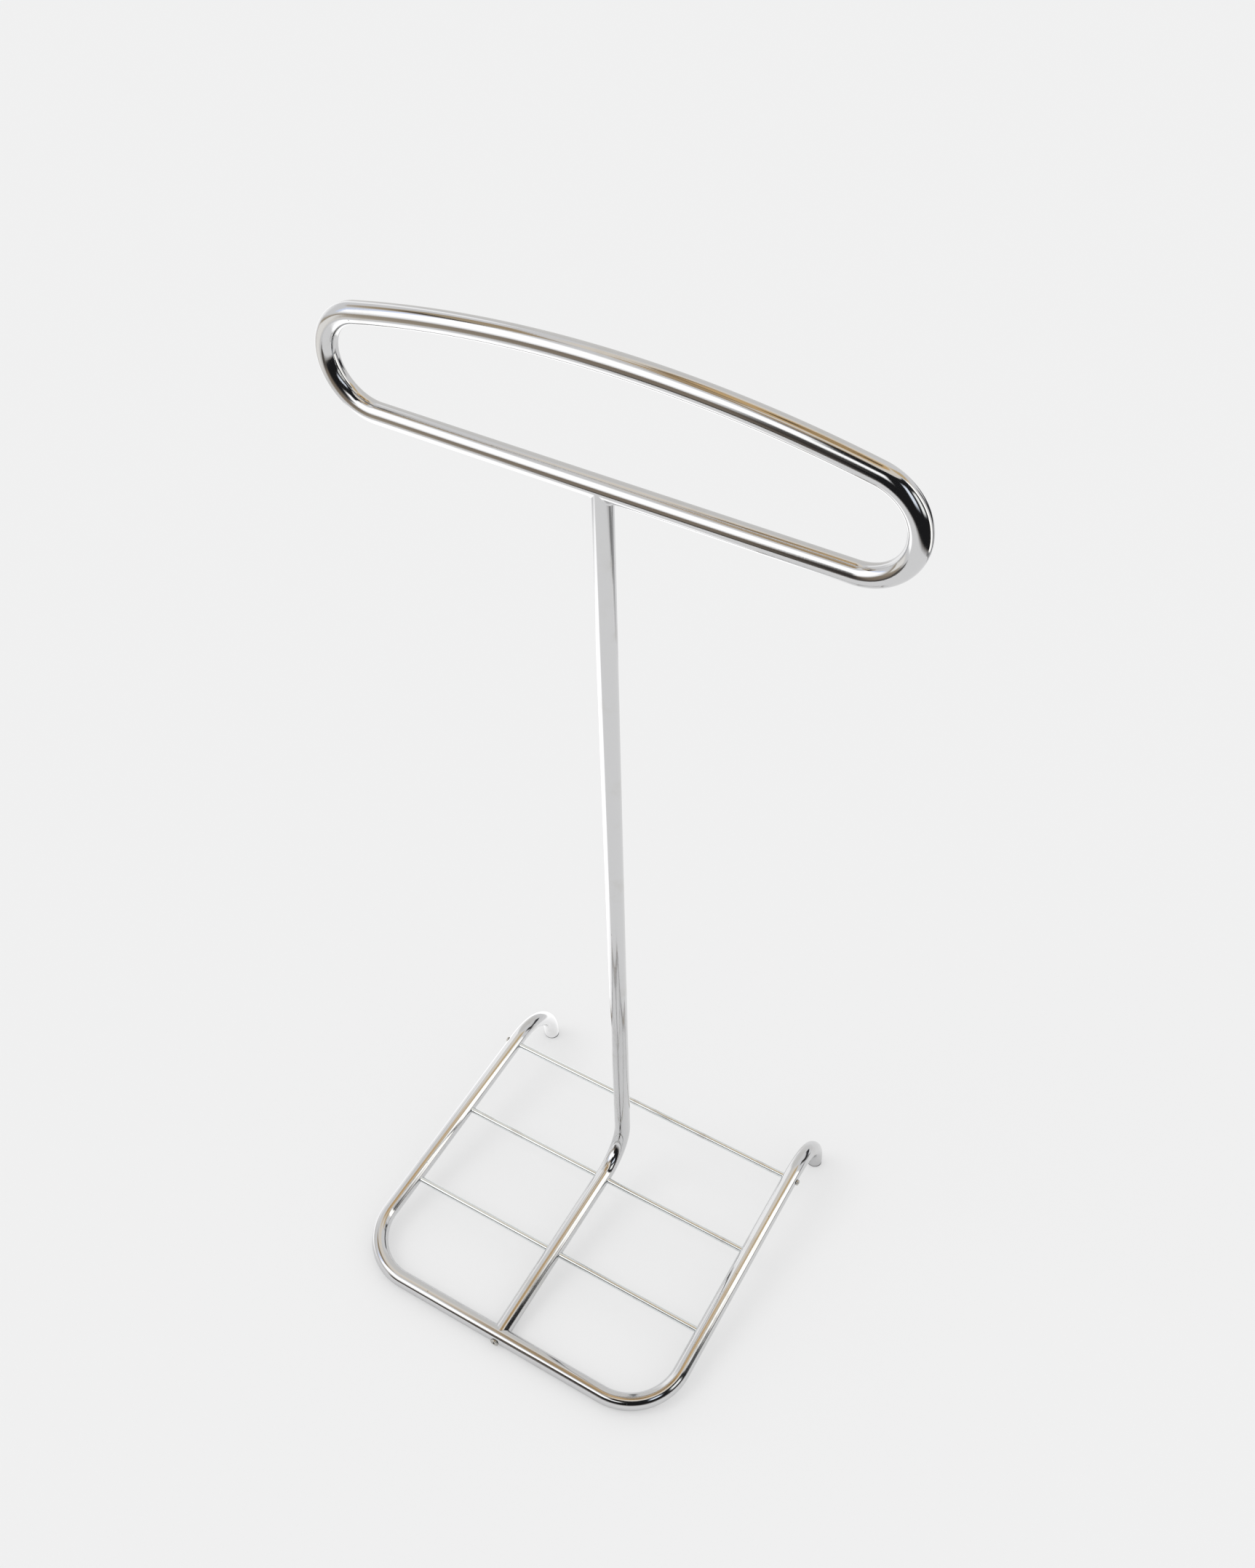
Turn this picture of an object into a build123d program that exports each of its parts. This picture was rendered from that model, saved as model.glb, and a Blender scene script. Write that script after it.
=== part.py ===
"""Valet stand of bent chromed tube: a sloping shoe rack, a post and a closed hanger loop.

Millimetres, +Z up, the front crossbar towards -Y. The origin lies on the floor under the
middle of the stand.
"""
import os
from math import asin, cos, degrees, radians, sin, sqrt, tan

from build123d import *

os.makedirs("parts", exist_ok=True)

# Tube stock, the same for the base, the post and the hanger
tube_d = 16.0
tube_wall = 1.2

# Base: a U of tube that lies on its front crossbar and slopes up to two hooked feet
base_width = 338.0          # between the axes of the side tubes
base_slope = 10.0           # degrees
corner_radius = 55.0        # front corners, on the tube's axis
hook_setback = 6.5          # from the rear rod back to where the hook begins
leg_lean = 12.0             # degrees from upright, the feet's ends to the rear
foot_leg = 7.0              # straight length of tube above each foot cap

# Rack rods across the base
front_rod_setback = 98.5    # from the crossbar's axis, up the slope
rod_pitch = 94.5
rod_d = 6.0
rod_clearance = 0.1         # all round, in each rod hole
rod_end_gap = 0.4           # from a rod's end to the far wall of its side tube
rod_chamfer = 0.5

# Post: lies between the side tubes, then bends square to the rack
post_bend_radius = 40.0
bend_setback = 3.0          # from the middle rod's axis to where the bend begins
cope_gap = 0.1              # between the coped end and the crossbar

# Hanger loop, on the tube's axis
hanger_bar_height = 870.0   # lower bar above the floor
hanger_straight = 362.0     # straight length of the lower bar
hanger_end_radius = 38.0
hanger_arch_rise = 19.0     # crown of the upper bar above the ends
vent_d = 6.0                # plating drain from the loop into the post

# Weld between the post and the hanger loop
weld_radius = 3.0
weld_gap = 0.05

# Screw through the crossbar into the post, and the threaded plug that takes it
post_screw_d = 5.0
post_screw_length = 34.0
post_head_d = 8.5
post_head_h = 1.6
plug_length = 22.0
plug_setback = 0.5          # from the crossbar's surface
plug_clearance = 0.05

# Screws through the side tubes into the rear rod
rear_screw_d = 3.0
rear_screw_length = 14.0
rear_head_d = 6.0
rear_head_h = 2.2
tap_depth_spare = 2.0       # tapped depth beyond the screw's tip

# What both sizes of screw share
screw_clearance = 0.15      # all round, in plain holes
thread_clearance = 0.05     # all round, in threaded holes
head_edge_share = 0.45      # straight rim of a head, as a share of its height
recess_length_share = 0.55  # cross recess, as shares of the head's diameter
recess_width_share = 0.16
recess_depth_share = 0.55   # of the head's height
tip_share = 0.2             # chamfer at a screw's tip, as a share of its thread

# Plastic foot caps: wedges under the leaning feet, so that their soles lie level
cap_flange = 1.0            # thickness at the front, where it is least
cap_edge = 0.4
cap_clearance = 0.05
cap_groove = 0.8            # depth of the grooves between the stem's ribs
cap_ribs = 2

# Worked out from the sizes above
tube_r = tube_d / 2
bore_r = tube_r - tube_wall
slope = radians(base_slope)
middle_rod_setback = front_rod_setback + rod_pitch
rear_rod_setback = middle_rod_setback + rod_pitch
side_length = rear_rod_setback + hook_setback
lean = radians(leg_lean)
foot_z = cap_flange + tube_r * sin(lean)
hook_drop = tube_r + side_length * sin(slope) - foot_z - foot_leg * cos(lean)
hook_radius = hook_drop / (cos(slope) - sin(lean))
hook_corner = side_length + hook_radius * tan(radians(90 + base_slope - leg_lean) / 2)
post_corner = middle_rod_setback + bend_setback + post_bend_radius
side_x = base_width / 2
rod_half = side_x + sqrt(bore_r**2 - (rod_d / 2) ** 2) - rod_end_gap
hanger_height = 2 * hanger_end_radius + hanger_arch_rise

# The origin is midway between the head of the post screw and the backs of the foot caps
post_head_round = post_head_h * (1 - head_edge_share)
front_reach = (tube_r + post_head_h - post_head_round) * cos(slope)
front_reach += (post_head_d / 2 - post_head_round) * sin(slope) + post_head_round
rear_reach = hook_corner * cos(slope) + (tube_r + hook_corner * sin(slope)) * tan(lean)
rear_reach += tube_r / cos(lean) - cap_edge * sin(lean)
crossbar_y = (front_reach - rear_reach) / 2


def on_slope(distance):
    """Y and Z of a point on the rack's plane, a distance up from the crossbar's axis."""
    return crossbar_y + distance * cos(slope), tube_r + distance * sin(slope)


rod_points = [on_slope(front_rod_setback), on_slope(middle_rod_setback), on_slope(rear_rod_setback)]
hook_y, hook_z = on_slope(hook_corner)
foot_y = hook_y + (hook_z - foot_z) * tan(lean)
sole_y = hook_y + hook_z * tan(lean)
post_corner_y, post_corner_z = on_slope(post_corner)
upright_length = (hanger_bar_height - post_corner_z) / cos(slope)
bar_y = post_corner_y - upright_length * sin(slope)
bar_centre = (0, bar_y, hanger_bar_height)

# Planes: square to the post at its foot and at its head, and the hanger's own plane
leg_plane = Plane((0, crossbar_y, tube_r), x_dir=(1, 0, 0), z_dir=(0, cos(slope), sin(slope)))
post_head_plane = Plane(bar_centre, x_dir=(1, 0, 0), z_dir=(0, -sin(slope), cos(slope)))
hanger_plane = Plane(bar_centre, x_dir=(1, 0, 0), z_dir=(0, -cos(slope), -sin(slope)))


def tube_ring(path):
    """The tube's wall, as a sketch square to the start of a path."""
    with BuildSketch(Plane(path @ 0, z_dir=path % 0)) as ring:
        Circle(tube_r)
        Circle(bore_r, mode=Mode.SUBTRACT)
    return ring.sketch


def pan_screw(seat, thread_d, length, head_d, head_h):
    """A pan head screw with a cross recess. The seat plane is the head's underside, facing out."""
    head_edge = head_h * head_edge_share
    head_round = head_h - head_edge
    tip = thread_d * tip_share
    profile = Plane(seat.origin, x_dir=seat.x_dir, z_dir=-seat.y_dir)
    with BuildPart() as screw:
        with BuildSketch(profile):
            with BuildLine():
                Polyline(
                    (head_d / 2 - head_round, head_h),
                    (0, head_h),
                    (0, -length),
                    (thread_d / 2 - tip, -length),
                    (thread_d / 2, -length + tip),
                    (thread_d / 2, 0),
                    (head_d / 2, 0),
                    (head_d / 2, head_edge),
                )
                JernArc((head_d / 2, head_edge), (0, 1), head_round, 90)
            make_face()
        revolve(axis=Axis(seat.origin, seat.z_dir))
        with BuildSketch(seat.offset(head_h)):
            Rectangle(head_d * recess_length_share, head_d * recess_width_share)
            Rectangle(head_d * recess_width_share, head_d * recess_length_share)
        extrude(amount=-head_h * recess_depth_share, mode=Mode.SUBTRACT)
    return screw.part


# Base frame: one tube from foot to foot, with its rod and screw holes
with BuildPart() as base_frame:
    with BuildLine() as frame_path:
        FilletPolyline(
            (-side_x, foot_y, foot_z),
            (-side_x, hook_y, hook_z),
            (-side_x, crossbar_y, tube_r),
            (side_x, crossbar_y, tube_r),
            (side_x, hook_y, hook_z),
            (side_x, foot_y, foot_z),
            radius=[hook_radius, corner_radius, corner_radius, hook_radius],
        )
    sweep(sections=tube_ring(frame_path.line), path=frame_path.line)
    with BuildSketch(Plane.YZ):
        with Locations(*rod_points):
            Circle(rod_d / 2 + rod_clearance)
    extrude(amount=side_x, both=True, mode=Mode.SUBTRACT)
    with BuildSketch(Plane.YZ):
        with Locations(rod_points[-1]):
            Circle(rear_screw_d / 2 + screw_clearance)
    extrude(amount=side_x + tube_d, both=True, mode=Mode.SUBTRACT)
    with BuildSketch(leg_plane):
        Circle(post_screw_d / 2 + screw_clearance)
    extrude(amount=tube_d, both=True, mode=Mode.SUBTRACT)

# Post: coped to the crossbar at its foot and to the hanger's lower bar at its head
with BuildPart() as post:
    with BuildLine() as post_path:
        FilletPolyline(
            (0, crossbar_y, tube_r),
            (0, post_corner_y, post_corner_z),
            bar_centre,
            radius=post_bend_radius,
        )
    sweep(sections=tube_ring(post_path.line), path=post_path.line)
    with BuildSketch(Plane.YZ):
        with Locations((crossbar_y, tube_r)):
            Circle(tube_r + cope_gap)
        with Locations((bar_y, hanger_bar_height)):
            Circle(tube_r + weld_gap)
        with Locations(*rod_points[:2]):
            Circle(rod_d / 2 + rod_clearance)
    extrude(amount=tube_d, both=True, mode=Mode.SUBTRACT)

# Hanger loop: a straight lower bar, round ends and an arched upper bar
half_straight = hanger_straight / 2
arch_radius = (half_straight**2 + hanger_height**2) / (2 * hanger_arch_rise)
arch_radius -= hanger_height * hanger_end_radius / hanger_arch_rise
arch_centre = hanger_height - arch_radius
arch_start = degrees(asin((hanger_end_radius - arch_centre) / (arch_radius - hanger_end_radius)))
with BuildPart() as hanger_loop:
    with BuildLine(hanger_plane) as hanger_path:
        Line((-half_straight, 0), (half_straight, 0))
        CenterArc((half_straight, hanger_end_radius), hanger_end_radius, -90, 90 + arch_start)
        CenterArc((0, arch_centre), arch_radius, arch_start, 180 - 2 * arch_start)
        CenterArc((-half_straight, hanger_end_radius), hanger_end_radius, 180 - arch_start, 90 + arch_start)
    sweep(sections=tube_ring(hanger_path.line), path=hanger_path.line)
    with BuildSketch(post_head_plane):
        Circle(vent_d / 2)
    extrude(amount=-tube_d, mode=Mode.SUBTRACT)

# Weld: a fillet round the joint, less both tubes, which leaves a crescent at either side
with BuildPart() as hanger_weld:
    with BuildSketch(Plane.YZ):
        with Locations((bar_y, hanger_bar_height)):
            Circle(tube_r)
    extrude(amount=tube_d, both=True)
    with BuildSketch(post_head_plane):
        Circle(tube_r - weld_gap)
    extrude(amount=-tube_d)
    fillet(hanger_weld.edges().filter_by(GeomType.BSPLINE), weld_radius)
    with BuildSketch(Plane.YZ):
        with Locations((bar_y, hanger_bar_height)):
            Circle(tube_r + weld_gap)
    extrude(amount=tube_d, both=True, mode=Mode.SUBTRACT)
    with BuildSketch(post_head_plane):
        Circle(tube_r + weld_gap)
    extrude(amount=-tube_d, mode=Mode.SUBTRACT)

# Rods: plain ones at the front and in the middle, and a tapped one at the rear
rods = {}
for rod_name, rod_point in zip(("front_rod", "middle_rod", "rear_rod"), rod_points):
    with BuildPart() as rod:
        with BuildSketch(Plane.YZ):
            with Locations(rod_point):
                Circle(rod_d / 2)
        extrude(amount=rod_half, both=True)
        chamfer(rod.edges().filter_by(GeomType.CIRCLE), rod_chamfer)
        if rod_name == "rear_rod":
            tap_end = side_x + tube_r - rear_screw_length - tap_depth_spare
            for end_x, inward in ((-rod_half, 1), (rod_half, -1)):
                with BuildSketch(Plane.YZ.offset(end_x)):
                    with Locations(rod_point):
                        Circle(rear_screw_d / 2 + thread_clearance)
                extrude(amount=inward * (rod_half - tap_end), mode=Mode.SUBTRACT)
    rods[rod_name] = rod.part

# Threaded plug in the post's lower end
with BuildPart() as post_plug:
    with BuildSketch(leg_plane.offset(tube_r + plug_setback)):
        Circle(bore_r - plug_clearance)
        Circle(post_screw_d / 2 + thread_clearance, mode=Mode.SUBTRACT)
    extrude(amount=plug_length)

# Screws: one into the post's plug, two into the rear rod
screw_seat = Plane(leg_plane.offset(-tube_r).origin, x_dir=(1, 0, 0), z_dir=-leg_plane.z_dir)
post_screw = pan_screw(screw_seat, post_screw_d, post_screw_length, post_head_d, post_head_h)
rear_screws = {}
for screw_name, side in (("left_rear_screw", -1), ("right_rear_screw", 1)):
    rear_y, rear_z = rod_points[-1]
    side_seat = Plane((side * (side_x + tube_r), rear_y, rear_z), x_dir=(0, 1, 0), z_dir=(side, 0, 0))
    rear_screws[screw_name] = pan_screw(
        side_seat, rear_screw_d, rear_screw_length, rear_head_d, rear_head_h
    )

# Foot caps: a wedge with a level sole under the tube's end and a ribbed stem in its bore
stem_r = bore_r - cap_clearance
rib_pitch = foot_leg / cap_ribs
foot_caps = {}
for cap_name, cap_x in (("left_foot_cap", -side_x), ("right_foot_cap", side_x)):
    tube_end = Plane((cap_x, foot_y, foot_z), x_dir=(1, 0, 0), z_dir=(0, -sin(lean), cos(lean)))
    with BuildPart() as foot_cap:
        with BuildSketch(tube_end):
            Circle(tube_r)
        extrude(amount=-tube_d)
        split(bisect_by=Plane.XY)
        chamfer(foot_cap.edges().group_by(Axis.Z)[0], cap_edge)
        with BuildSketch(tube_end):
            Circle(stem_r - cap_groove)
        extrude(amount=foot_leg)
        for rib in range(cap_ribs):
            with BuildSketch(tube_end.offset((rib + 0.5) * rib_pitch)):
                Circle(stem_r)
            extrude(amount=rib_pitch / 2)
    foot_caps[cap_name] = foot_cap.part

pieces = {
    "base_frame": base_frame.part,
    "post": post.part,
    "hanger_loop": hanger_loop.part,
    "hanger_weld": hanger_weld.part,
    "post_plug": post_plug.part,
    "post_screw": post_screw,
    **rods,
    **rear_screws,
    **foot_caps,
}
for piece_name, piece in pieces.items():
    piece.label = piece_name
    export_step(piece, f"parts/{piece_name}.step")
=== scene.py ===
from math import asin, atan2, cos, pi, radians, sin, tan

import bmesh
import bpy
import numpy as np
from mathutils import Matrix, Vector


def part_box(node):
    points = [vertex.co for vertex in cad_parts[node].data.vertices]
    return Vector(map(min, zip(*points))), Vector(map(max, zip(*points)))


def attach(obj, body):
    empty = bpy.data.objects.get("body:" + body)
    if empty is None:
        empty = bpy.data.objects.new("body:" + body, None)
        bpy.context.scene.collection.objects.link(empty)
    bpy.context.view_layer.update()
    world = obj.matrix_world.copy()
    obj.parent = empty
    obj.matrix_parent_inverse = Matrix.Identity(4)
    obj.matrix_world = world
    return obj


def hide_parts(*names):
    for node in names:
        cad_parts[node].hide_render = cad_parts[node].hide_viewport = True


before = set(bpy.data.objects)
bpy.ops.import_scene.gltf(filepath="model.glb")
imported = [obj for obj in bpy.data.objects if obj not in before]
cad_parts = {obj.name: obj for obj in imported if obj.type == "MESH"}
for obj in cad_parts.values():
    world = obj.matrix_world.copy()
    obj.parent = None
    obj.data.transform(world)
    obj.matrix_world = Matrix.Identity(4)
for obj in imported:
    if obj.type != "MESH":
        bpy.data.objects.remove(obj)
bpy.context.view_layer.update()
print("frame:", len(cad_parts), "nodes")

tiny = 1e-9  # where two values are meant to be the same


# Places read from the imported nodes, in metres
def nodeMiddle(node):
    low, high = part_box(node)
    return np.array((low + high) / 2)


footLow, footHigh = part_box("right_foot_cap")
loopLow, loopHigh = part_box("hanger_loop")
rodNames = ("front_rod", "middle_rod", "rear_rod")
rodMiddles = {name: nodeMiddle(name) for name in rodNames}
tubeR = (footHigh.x - footLow.x) / 2
sideX = nodeMiddle("right_foot_cap")[0]
crossbar = np.array((0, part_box("base_frame")[0].y + tubeR, tubeR))  # middle of its axis
barMiddle = np.array((0, loopHigh.y - tubeR, loopLow.z + tubeR))    # middle of the loop's lower bar
rodStep = rodMiddles["rear_rod"] - rodMiddles["front_rod"]
slope = atan2(rodStep[2], rodStep[1])
across = np.array((1.0, 0, 0))
upSlope = np.array((0, cos(slope), sin(slope)))   # along the rack, rearwards
offRack = np.array((0, -sin(slope), cos(slope)))  # square to the rack, up the post
print(f"tube {2 * tubeR:.4f} m, slope {np.degrees(slope):.2f} degrees")

tubeStock = {
    "wall": 0.0012,
    "sides": 72,
    "crowd": 0.3,             # facets crowd towards the inner and outer side, where rods and screws seat
    "runGap": 0.004,          # between rings on straight runs
    "arcGap": radians(1.25),  # between rings on arcs
    "boreThin": 3,            # the bore keeps one ring in so many
    "trimReach": 0.05,        # a cut end draws back the rings over this length
}
boreR = tubeR - tubeStock["wall"]


# Rotation of one vector about an axis, for a whole array of angles
def turned(vector, axis, angles):
    angles = np.asarray(angles)[..., None]
    level = axis * np.dot(axis, vector)
    return level + (vector - level) * np.cos(angles) + np.cross(axis, vector) * np.sin(angles)


# A tube's line is fed like stock through a bender: runs of a length, and arcs of a radius,
# an angle and an axis. Each stretch keeps where it begins and the directions it begins with.
def feedLine(start, heading, side, moves):
    stretches = []
    place, fed = np.array(start, float), 0.0
    for move in moves:
        stretch = {"begin": fed, "place": place, "heading": heading, "side": side, "radius": None}
        if len(move) == 1:
            stretch["length"] = move[0]
            place = place + heading * move[0]
        else:
            radius, angle, axis = move
            stretch.update(radius=radius, axis=axis, length=radius * angle)
            centre = place + radius * np.cross(axis, heading)
            place = centre + turned(place - centre, axis, angle)
            stretch["centre"] = centre
            heading, side = turned(heading, axis, angle), turned(side, axis, angle)
        fed += stretch["length"]
        stretches.append(stretch)
    return stretches


# Centre, side and up directions of the line at any array of distances along it
def lineAt(stretches, along):
    centre, side, heading = (np.empty(along.shape + (3,)) for _ in range(3))
    for stretch in stretches:
        begin, end = stretch["begin"], stretch["begin"] + stretch["length"]
        here = (along >= begin - tiny) & (along <= end + tiny)
        passed = along[here] - begin
        if stretch["radius"] is None:
            centre[here] = stretch["place"] + stretch["heading"] * passed[:, None]
            heading[here], side[here] = stretch["heading"], stretch["side"]
        else:
            angle, axis = passed / stretch["radius"], stretch["axis"]
            centre[here] = stretch["centre"] + turned(stretch["place"] - stretch["centre"], axis, angle)
            heading[here] = turned(stretch["heading"], axis, angle)
            side[here] = turned(stretch["side"], axis, angle)
    return centre, side, np.cross(heading, side)


# Distances along the line at which rings stand: even on runs, by angle on arcs
def ringPlaces(stretches):
    places = [np.zeros(1)]
    for stretch in stretches:
        gap = tubeStock["runGap"]
        if stretch["radius"]:
            gap = min(gap, stretch["radius"] * tubeStock["arcGap"])
        count = int(np.ceil(stretch["length"] / gap))
        places.append(stretch["begin"] + stretch["length"] * np.arange(1, count + 1) / count)
    return np.concatenate(places)


# Angles round a tube, denser at the inner and the outer side: a sine is taken off twice a turn
def roundAngles(sides, crowd=0.0):
    even = np.arange(sides + 1) / sides * 2 * pi
    return even - crowd * np.sin(2 * even)


# Points of a tube's wall: each at its distance along the line, at its angle from the side
# direction, a radius from the axis
def wallPoints(stretches, along, angles, radius):
    centre, side, up = lineAt(stretches, along)
    return centre + radius * (np.cos(angles)[..., None] * side + np.sin(angles)[..., None] * up)


# UV of a tube's wall in metres: round the tube, and along it
def wallUv(along, angles):
    return np.stack([np.broadcast_to(angles * tubeR, along.shape), along], -1)


# One shell on a grid of rows and columns: vertices, faces turned outwards and a UV for each corner
def gridShell(points, wrapRows, wrapCols, uv):
    rows, cols = points.shape[:2]
    i, j = np.meshgrid(np.arange(rows - 1 + wrapRows), np.arange(cols - 1 + wrapCols), indexing="ij")
    rowOf = np.stack([i, i + 1, i + 1, i], -1).reshape(-1, 4)
    colOf = np.stack([j, j, j + 1, j + 1], -1).reshape(-1, 4)
    faces = rowOf % rows * cols + colOf % cols
    corners = uv[rowOf, colOf]
    verts = points.reshape(-1, 3)
    a, b, c, d = (verts[faces[:, k]] - verts.mean(0) for k in range(4))
    if (np.cross(a, b) * c + np.cross(a, c) * d).sum() < 0:
        faces, corners = faces[:, ::-1], corners[:, ::-1]
    return verts, faces, corners


def shellMesh(name, verts, faces, corners):
    mesh = bpy.data.meshes.new(name)
    mesh.from_pydata(verts.tolist(), [], faces.tolist())
    mesh.uv_layers.new(name="surface").data.foreach_set("uv", corners.astype(np.float32).ravel())
    return mesh


def addObject(name, data):
    thing = bpy.data.objects.new(name, data)
    bpy.context.scene.collection.objects.link(thing)
    return thing


shading = {"sharpAngle": radians(32), "mergeGap": 1e-7}


def makePiece(name, shells, material, slotName, *nodes):
    offsets = np.cumsum([0] + [len(shell[0]) for shell in shells])
    verts = np.concatenate([shell[0] for shell in shells])
    faces = np.concatenate([shell[1] + offset for shell, offset in zip(shells, offsets)])
    mesh = shellMesh(name, verts, faces, np.concatenate([shell[2] for shell in shells]))
    work = bmesh.new()
    work.from_mesh(mesh)
    bmesh.ops.remove_doubles(work, verts=work.verts, dist=shading["mergeGap"])
    work.to_mesh(mesh)
    work.free()
    mesh.shade_smooth()
    mesh.set_sharp_from_angle(angle=shading["sharpAngle"])
    mesh.materials.append(material)
    piece = addObject(name, mesh)
    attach(piece, "root")
    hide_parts(*nodes)
    print(f"{name}: {len(mesh.vertices)} vertices, {len(mesh.polygons)} faces")
    return piece


# An open tube as one closed shell: out along the outer wall, back along the bore.
# startTrim and endTrim give how far each end is cut back, by the height above the side plane.
def openTube(stretches, startTrim, endTrim):
    total = stretches[-1]["begin"] + stretches[-1]["length"]
    angles = roundAngles(tubeStock["sides"], tubeStock["crowd"])[None, :]
    walls, distances = [], []
    for radius, thin in ((tubeR, 1), (boreR, tubeStock["boreThin"])):
        rings = ringPlaces(stretches)
        rings = np.unique(np.append(rings[::thin], total))[:, None]
        fromStart = np.clip(1 - rings / tubeStock["trimReach"], 0, 1)
        fromEnd = np.clip(1 - (total - rings) / tubeStock["trimReach"], 0, 1)
        height = radius * np.sin(angles)
        along = rings + fromStart * startTrim(height) - fromEnd * endTrim(height)
        walls.append(wallPoints(stretches, along, angles, radius))
        distances.append(along)
    points = np.concatenate([walls[0], walls[1][::-1]])[:, :-1]
    uv = wallUv(np.concatenate([distances[0], distances[1][::-1]]), angles)
    return gridShell(points, True, True, np.concatenate([uv, uv[:1]]))


def squareEnd(height):
    return np.zeros_like(height)


# A shape turned on an axis: each profile point is a distance along the axis and a radius
def turnedShell(origin, axis, side, profile, sides):
    profile = np.array(profile, float)
    angles = roundAngles(sides)
    other = np.cross(axis, side)
    ring = np.cos(angles)[:, None] * side + np.sin(angles)[:, None] * other
    points = origin + profile[:, None, :1] * axis + profile[:, None, 1:] * ring
    walked = np.append(0, np.cumsum(np.linalg.norm(np.diff(profile, axis=0), axis=1)))
    widest = profile[:, 1].max()
    uv = np.stack(np.meshgrid(walked, angles * widest, indexing="ij")[::-1], -1)
    return gridShell(points[:, :-1], False, True, uv)


# Points of a quarter or other arc in a profile, from one angle to another
def profileArc(centreAlong, centreR, radius, fromAngle, toAngle, count):
    angles = np.linspace(fromAngle, toAngle, count)
    return list(zip(centreAlong + radius * np.sin(angles), centreR + radius * np.cos(angles)))


# A node with its sockets set: a socket given as a value is linked
def put(tree, kind, values=None, **settings):
    node = tree.nodes.new(kind)
    for key, value in settings.items():
        setattr(node, key, value)
    for key, value in (values or {}).items():
        if isinstance(value, bpy.types.NodeSocket):
            tree.links.new(value, node.inputs[key])
        else:
            node.inputs[key].default_value = value
    return node


def newMaterial(name):
    material = bpy.data.materials.new(name)
    material.use_nodes = True
    material.node_tree.nodes.clear()
    return material, material.node_tree


def mixColour(tree, factor, low, high):
    node = put(tree, "ShaderNodeMix", {0: factor, 6: low, 7: high}, data_type="RGBA")
    return node.outputs[2]


# Carries a value from one span into another, eased at both ends unless it is linear
def mapRange(tree, value, span, into=(0.0, 1.0), kind="SMOOTHSTEP"):
    values = {0: value, 1: span[0], 2: span[1], 3: into[0], 4: into[1]}
    return put(tree, "ShaderNodeMapRange", values, interpolation_type=kind).outputs[0]


def mathNode(tree, operation, *values):
    return put(tree, "ShaderNodeMath", dict(enumerate(values)), operation=operation).outputs[0]


def objectPlace(tree):
    return put(tree, "ShaderNodeTexCoord").outputs["Object"]


def surfaceUv(tree):
    return put(tree, "ShaderNodeUVMap", uv_map="surface").outputs[0]


def stretchedUv(tree, scale):
    return put(tree, "ShaderNodeMapping", {0: surfaceUv(tree), 3: scale}).outputs[0]


def noise(tree, vector, scale=1.0, detail=1.0, roughness=0.5):
    values = {"Vector": vector, "Scale": scale, "Detail": detail, "Roughness": roughness}
    return put(tree, "ShaderNodeTexNoise", values).outputs[0]


# A bump of a depth in metres, laid over the one given as below
def bump(tree, height, depth, below=None):
    values = {"Strength": 1.0, "Distance": depth, "Height": height}
    if below:
        values["Normal"] = below
    return put(tree, "ShaderNodeBump", values).outputs[0]


def shade(tree, colour, rough, normal, metallic):
    values = {"Base Color": colour, "Metallic": metallic, "Roughness": rough, "Normal": normal}
    shader = put(tree, "ShaderNodeBsdfPrincipled", values)
    put(tree, "ShaderNodeOutputMaterial", {0: shader.outputs[0]})


# Chrome plate: a mirror with long polishing marks, a slow waviness of the tube under the plate,
# ripples across it from the bender, hand smudges that dull it and a few pits
def chromePlate(name, look):
    material, tree = newMaterial(name)
    place = objectPlace(tree)
    polish = noise(tree, stretchedUv(tree, look["polishScale"]), detail=4.0)
    wave = noise(tree, place, look["waveScale"])
    smudge = noise(tree, place, look["smudgeScale"], detail=5.0, roughness=0.6)
    cells = put(tree, "ShaderNodeTexVoronoi", {"Vector": place, "Scale": look["pitScale"]})
    chance = put(tree, "ShaderNodeSeparateColor", {0: cells.outputs["Color"]}).outputs[0]
    rare = mathNode(tree, "GREATER_THAN", chance, look["pitRarity"])
    hollow = mapRange(tree, cells.outputs["Distance"], (look["pitSize"], look["pitSize"] * 2), (1.0, 0.0))
    pit = mathNode(tree, "MULTIPLY", hollow, rare)
    dull = mapRange(tree, smudge, look["smudgeSpan"])
    colour = mixColour(tree, dull, look["colour"], look["smudgeColour"])
    colour = mixColour(tree, pit, colour, look["pitColour"])
    rough = mapRange(tree, polish, look["polishSpan"], look["roughness"], "LINEAR")
    rough = mathNode(tree, "MULTIPLY_ADD", dull, look["smudgeRoughness"], rough)
    rough = mathNode(tree, "MULTIPLY_ADD", pit, look["pitRoughness"], rough)
    bent = mapRange(tree, noise(tree, place, look["rippleSpread"]), look["rippleSpan"])
    ripple = mathNode(tree, "MULTIPLY", noise(tree, stretchedUv(tree, look["rippleScale"])), bent)
    normal = bump(tree, wave, look["waveDepth"])
    normal = bump(tree, ripple, look["rippleDepth"], normal)
    normal = bump(tree, polish, look["polishDepth"], normal)
    shade(tree, colour, rough, normal, 1.0)
    return material


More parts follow.
